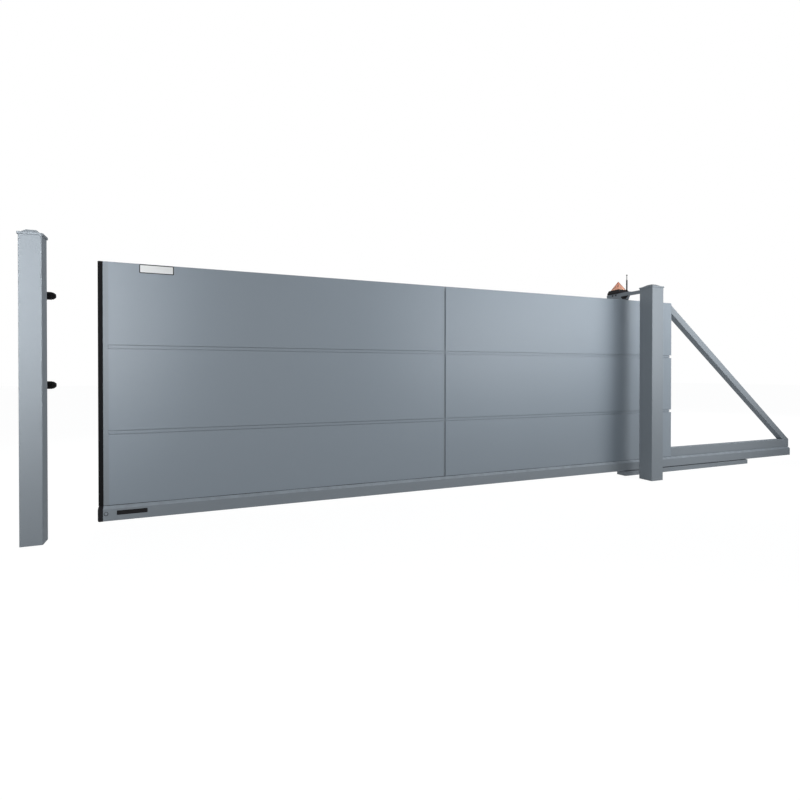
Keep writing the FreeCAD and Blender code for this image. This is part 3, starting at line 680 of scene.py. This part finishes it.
# lamp lens: rounded squares that shrink evenly to the tip, less a triangle wave of fine prism ribs,
# up the outside and, less the wall, down the inside
def lampLens(look):
    low, high = corners("lamp_lens")
    middle = (low + high) / 2
    side, tall = high[0] - low[0], high[2] - low[2]
    share = np.linspace(0, look["topLevel"], look["levels"])
    wave = np.abs((share * look["ribs"]) % 1 - 0.5) * 2
    outer = side * (1 - share * look["taper"]) - 2 * look["ribDepth"] * wave
    inner = np.maximum(outer - 2 * look["wall"], look["leastHollow"])
    hollow = np.concatenate([[0.0], share[1:] * tall - look["ceiling"]])
    width = np.concatenate([inner[::-1], outer, [outer[-1] * look["tip"]]])
    level = np.concatenate([hollow[::-1], share * tall, [tall]])
    corner = np.minimum(look["corner"], width * look["roundest"])
    rings = roundedPile(width, width, corner, 0.0, level, look["steps"])
    return laid(skin(rings), (*middle[:2], low[2]), towards["sky"])


lens = addPiece("lampLens", [lampLens(lampLook)], "posts_and_base", "amber_lens", sharp=40)
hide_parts("lamp_lens")

gasketLook = {"margin": 0.00275, "corner": 0.006, "width": 0.0028, "rise": 0.0014, "edge": 0.3, "brow": 0.6,
              "steps": 10}


# gasket: a trim loop under the lens's foot, larger than it by the margin all round
def lampGasket(look):
    low, high = corners("lamp_lens")
    middle = (low + high) / 2
    size = (high - low)[:2] + 2 * look["margin"]
    return laid(trimLoop(dict(look, size=size)), (*middle[:2], low[2]), towards["sky"])


addPiece("lampGasket", [lampGasket(gasketLook)], "posts_and_base", "black_rubber", sharp=50)
print("lamp dressed")

stageLook = {"half": 40.0, "squares": 8, "paper": (0.76, 0.76, 0.76), "white": (1.0, 1.0, 1.0),
             "evenness": 0.80, "glow": 1.17, "skyFill": 0.32, "skyColour": (0.93, 0.97, 1.0)}


# rays that show the backdrop: those of the camera, and those that gloss and glass send on
def seenRays(finish):
    rays = finish.node("ShaderNodeLightPath", {}, {}, "Is Camera Ray")
    return (rays + rays.out("Is Glossy Ray") + rays.out("Is Transmission Ray")).clamped()


# floor sheet: a flat square grid, matt to the light and evened out towards white in what is seen,
# so that the gate's shadow stays on it
def floorSheet(look):
    lines = look["squares"] + 1
    line = np.linspace(-look["half"], look["half"], lines)
    points = gridPoints(line, line[:, None], 0.0).reshape(-1, 3)
    corner = (np.arange(lines - 1)[:, None] * lines + np.arange(lines - 1)).ravel()
    faces = np.stack([corner, corner + 1, corner + lines + 1, corner + lines], axis=-1)
    mesh = bpy.data.meshes.new("floorSheet")
    mesh.from_pydata(points.tolist(), [], faces.tolist())
    finish = Finish(bpy.data.materials.new("floorPaper"))
    matt = finish.node("ShaderNodeBsdfDiffuse", {}, {"Color": tint(look["paper"])})
    glow = finish.node("ShaderNodeEmission", {}, {"Color": tint(look["white"]), "Strength": look["glow"]})
    mixed = finish.node("ShaderNodeMixShader", {}, {0: seenRays(finish) * look["evenness"], 1: matt, 2: glow})
    finish.node("ShaderNodeOutputMaterial", {}, {"Surface": mixed})
    mesh.materials.append(finish.owner)
    sheet = bpy.data.objects.new("floorSheet", mesh)
    bpy.context.scene.collection.objects.link(sheet)


# studio sky: an even pale fill for the light, plain white to the eye
def studioSky(look):
    sky = Finish(bpy.data.worlds.new("studioSky"))
    fill = sky.node("ShaderNodeBackground", {},
                    {"Color": tint(look["skyColour"]), "Strength": look["skyFill"]})
    plain = sky.node("ShaderNodeBackground", {}, {"Color": tint(look["white"]), "Strength": 1.0})
    shown = sky.node("ShaderNodeMixShader", {}, {0: seenRays(sky), 1: fill, 2: plain})
    sky.node("ShaderNodeOutputWorld", {}, {"Surface": shown})
    return sky.owner


scene = bpy.context.scene
floorSheet(stageLook)
scene.world = studioSky(stageLook)
print("floor and sky made")

# soft lamps about the gate: place, aim, width, height, spread in degrees, watts
lampRig = {
    "leftSoftbox": ((-5.2, -2.0, 1.4), (-5.5, 0.0, 1.4), 0.9, 1.3, 70, 9.3),
    "middleSoftbox": ((-1.0, -1.8, 1.4), (-2.0, 0.0, 1.4), 1.8, 1.2, 60, 5.2),
    "rightSoftbox": ((1.54, -2.8, 2.0), (0.0, 0.0, 2.0), 1.8, 1.2, 90, 42),
    "frontSoftbox": ((-5.2, -4.2, 1.5), (-4.0, 0.0, 1.2), 6.0, 2.4, 180, 75),
    "backSoftbox": ((0.2, 6.0, 2.6), (0.2, 0.0, 0.8), 10.0, 2.0, 120, 150),
    "openSoftbox": ((4.8, -4.2, 1.6), (4.7, 0.0, 1.0), 2.8, 1.4, 45, 34),
}
for lampName, (place, aim, width, height, spread, watts) in lampRig.items():
    light = bpy.data.lights.new(lampName, "AREA")
    light.shape = "RECTANGLE"
    light.size, light.size_y, light.energy = width, height, watts
    light.spread = math.radians(spread)
    softbox = bpy.data.objects.new(lampName, light)
    away = np.array(aim) - np.array(place)
    tilt = math.atan2(math.hypot(away[0], away[1]), -away[2])
    softbox.location = place
    softbox.rotation_euler = (tilt, 0, math.atan2(-away[0], away[1]))
    softbox.visible_camera = False
    softbox.visible_glossy = False
    scene.collection.objects.link(softbox)

# camera as in the photograph, with its focal length and shift in the picture's pixels
cameraLook = {"place": (-4.338, -3.3876, 0.8998), "pitch": 89.615, "yaw": -22.47, "sensor": 36,
              "pictureWidth": 800, "focalPixels": 505, "shiftPixels": -23}
cameraData = bpy.data.cameras.new("gateCamera")
cameraData.sensor_width = cameraLook["sensor"]
cameraData.lens = cameraLook["focalPixels"] / cameraLook["pictureWidth"] * cameraLook["sensor"]
cameraData.shift_y = cameraLook["shiftPixels"] / cameraLook["pictureWidth"]
camera = bpy.data.objects.new("gateCamera", cameraData)
camera.location = cameraLook["place"]
camera.rotation_euler = (math.radians(cameraLook["pitch"]), 0, math.radians(cameraLook["yaw"]))
scene.collection.objects.link(camera)
scene.camera = camera
scene.view_settings.view_transform = "Standard"
print("lamps and camera set")
